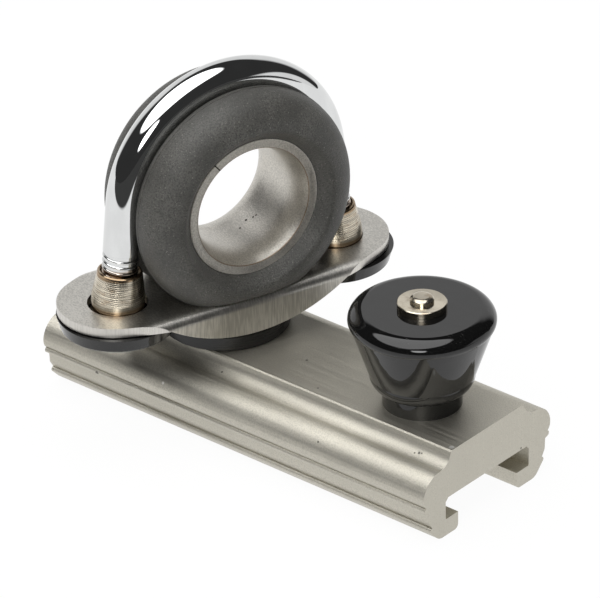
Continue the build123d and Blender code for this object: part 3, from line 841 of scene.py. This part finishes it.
def towards(azimuth, elevation):
    """Direction in degrees; azimuth turns from -Y towards +X."""
    azimuth, elevation = math.radians(azimuth), math.radians(elevation)
    level = math.cos(elevation)
    return Vector((math.sin(azimuth) * level, -math.cos(azimuth) * level, math.sin(elevation)))


def camera_axes():
    """The camera's right, up and back directions."""
    back = towards(CAMERA_AZIMUTH, CAMERA_ELEVATION)
    level = towards(CAMERA_AZIMUTH + 90, 0)
    roll = math.radians(CAMERA_ROLL)
    up = back.cross(level)
    return (
        math.cos(roll) * level + math.sin(roll) * up,
        math.cos(roll) * up - math.sin(roll) * level,
        back,
    )


def place_camera():
    """Camera that sees what the photograph's camera saw."""
    right, up, back = camera_axes()
    lens = bpy.data.cameras.new("camera")
    lens.sensor_width = CAMERA_SENSOR
    lens.sensor_fit = "HORIZONTAL"
    lens.lens = CAMERA_LENS
    camera = bpy.data.objects.new("camera", lens)
    turn = Matrix((right, up, back)).transposed().to_4x4()
    camera.matrix_world = Matrix.Translation(Vector(CAMERA_TARGET) + CAMERA_DISTANCE * back) @ turn
    bpy.context.scene.collection.objects.link(camera)
    bpy.context.scene.camera = camera


def floor_finish(stage):
    """White sheet: white to the eye, and still darker where the part shades it."""
    finish, tree, place = empty_finish("white_sheet")
    rays = add(tree, "ShaderNodeLightPath").outputs
    # towards the camera the sheet ends, so that reflections turn dark there
    front = towards(CAMERA_AZIMUTH, 0)
    edge = stage.sheet_reach + Vector(CAMERA_TARGET).dot(front)
    fade = 20 * MM
    sheet = ramp(tree, vector_value(tree, "DOT_PRODUCT", place, front), edge, edge + fade, 1.0, 0.0)
    mirrored = combine(tree, "MAXIMUM", rays["Is Glossy Ray"], rays["Is Transmission Ray"])
    seen = combine(tree, "MAXIMUM", rays["Is Camera Ray"], mirrored)
    strength = combine(tree, "MAXIMUM", sheet, rays["Is Camera Ray"])
    paper = add(tree, "ShaderNodeBsdfDiffuse", {"Color": (*stage.floor, 1)})
    white = add(tree, "ShaderNodeEmission", {"Color": (1, 1, 1, 1), "Strength": strength})
    whiteness = combine(tree, "MULTIPLY", seen, SHEET_WHITENESS)
    mixed = add(tree, "ShaderNodeMixShader", {
        "Fac": whiteness, 1: paper.outputs["BSDF"], 2: white.outputs["Emission"]})
    add(tree, "ShaderNodeOutputMaterial", {"Surface": mixed.outputs["Shader"]})
    return finish


def place_floor(stage):
    """Square sheet just below the part."""
    half_side, gap = 3.0, 0.05 * MM
    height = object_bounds()[0][2] - gap
    corners = [(x * half_side, y * half_side, height) for x, y in ((-1, -1), (1, -1), (1, 1), (-1, 1))]
    mesh = bpy.data.meshes.new("floor")
    mesh.from_pydata(corners, [], [(0, 1, 2, 3)])
    mesh.materials.append(floor_finish(stage))
    floor = bpy.data.objects.new("floor", mesh)
    bpy.context.scene.collection.objects.link(floor)
    floor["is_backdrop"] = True


def light_world(stage):
    """White to the camera. For the light: soft boxes, a card and a backdrop in a dark room."""
    world = bpy.data.worlds.new("studio")
    bpy.context.scene.world = world
    world.use_nodes = True
    tree = world.node_tree
    tree.nodes.clear()
    direction = add(tree, "ShaderNodeTexCoord").outputs["Generated"]
    # each light is round: azimuth, elevation and half its angle, and its strength
    lights = (
        (CAMERA_AZIMUTH - 50, 75, 37, stage.overhead),
        (CAMERA_AZIMUTH - 6, 25, 10, stage.front),
        (CAMERA_AZIMUTH + 88, -13, 27, stage.cards),
    )
    strength = stage.room
    for azimuth, elevation, half_angle, power in lights:
        near = vector_value(tree, "DOT_PRODUCT", direction, towards(azimuth, elevation))
        edge, core = (
            math.cos(math.radians(half_angle + soft)) for soft in (LIGHT_SOFTNESS, -LIGHT_SOFTNESS))
        strength = combine(tree, "MAXIMUM", strength, ramp(tree, near, edge, core, 0.0, power))
    # the backdrop stands behind the part, from side to side and up to about 38 degrees
    behind = vector_value(tree, "DOT_PRODUCT", direction, -towards(CAMERA_AZIMUTH + BACKDROP_TURN, 0))
    height = add(tree, "ShaderNodeSeparateXYZ", {"Vector": direction}).outputs["Z"]
    backdrop = combine(
        tree, "MULTIPLY", ramp(tree, behind, *BACKDROP_SIDES, 0.0, stage.cards),
        ramp(tree, height, *BACKDROP_TOP, 1.0, 0.0))
    strength = combine(tree, "MAXIMUM", strength, backdrop)
    room = add(tree, "ShaderNodeBackground", {"Color": (1, 1, 1, 1), "Strength": strength})
    white = add(tree, "ShaderNodeBackground", {"Color": (1, 1, 1, 1), "Strength": 1.0})
    rays = add(tree, "ShaderNodeLightPath").outputs
    mixed = add(tree, "ShaderNodeMixShader", {
        "Fac": rays["Is Camera Ray"], 1: room.outputs["Background"], 2: white.outputs["Background"]})
    add(tree, "ShaderNodeOutputWorld", {"Surface": mixed.outputs["Shader"]})


class GENOA_OT_stage(bpy.types.Operator):
    """Set up the floor, the soft light and the camera"""
    bl_idname = "genoa.stage"
    bl_label = "Stage"

    def execute(self, context):
        stage = context.scene.genoa_stage
        place_floor(stage)
        light_world(stage)
        place_camera()
        context.scene.view_settings.view_transform = "Standard"
        return {"FINISHED"}


PROPERTY_GROUPS = {
    "genoa_finishes": GenoaFinishes,
    "genoa_details": GenoaDetails,
    "genoa_stage": GenoaStage,
}
OPERATORS = (
    GENOA_OT_slider, GENOA_OT_swivel, GENOA_OT_base_plate, GENOA_OT_u_bolt, GENOA_OT_sleeve_nuts,
    GENOA_OT_bullseye, GENOA_OT_plunger, GENOA_OT_stage,
)


class GENOA_PT_panel(bpy.types.Panel):
    """Sidebar panel with the sizes, the colours and one button for each group of pieces"""
    bl_idname = "GENOA_PT_panel"
    bl_label = "Genoa car"
    bl_space_type = "VIEW_3D"
    bl_region_type = "UI"
    bl_category = "Genoa car"

    def draw(self, context):
        for group, kind in PROPERTY_GROUPS.items():
            box = self.layout.box()
            for name in kind.__annotations__:
                box.prop(getattr(context.scene, group), name)
        for operator in OPERATORS:
            self.layout.operator(operator.bl_idname)


def register():
    for kind in (*PROPERTY_GROUPS.values(), *OPERATORS, GENOA_PT_panel):
        bpy.utils.register_class(kind)
    for group, kind in PROPERTY_GROUPS.items():
        setattr(bpy.types.Scene, group, bpy.props.PointerProperty(type=kind))


def unregister():
    for group in PROPERTY_GROUPS:
        delattr(bpy.types.Scene, group)
    for kind in (GENOA_PT_panel, *reversed(OPERATORS), *PROPERTY_GROUPS.values()):
        bpy.utils.unregister_class(kind)


def main():
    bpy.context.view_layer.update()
    register()
    bpy.ops.genoa.slider()
    bpy.ops.genoa.swivel()
    bpy.ops.genoa.base_plate()
    bpy.ops.genoa.u_bolt()
    bpy.ops.genoa.sleeve_nuts()
    bpy.ops.genoa.bullseye()
    bpy.ops.genoa.plunger()
    bpy.ops.genoa.stage()


if __name__ == "__main__":
    main()
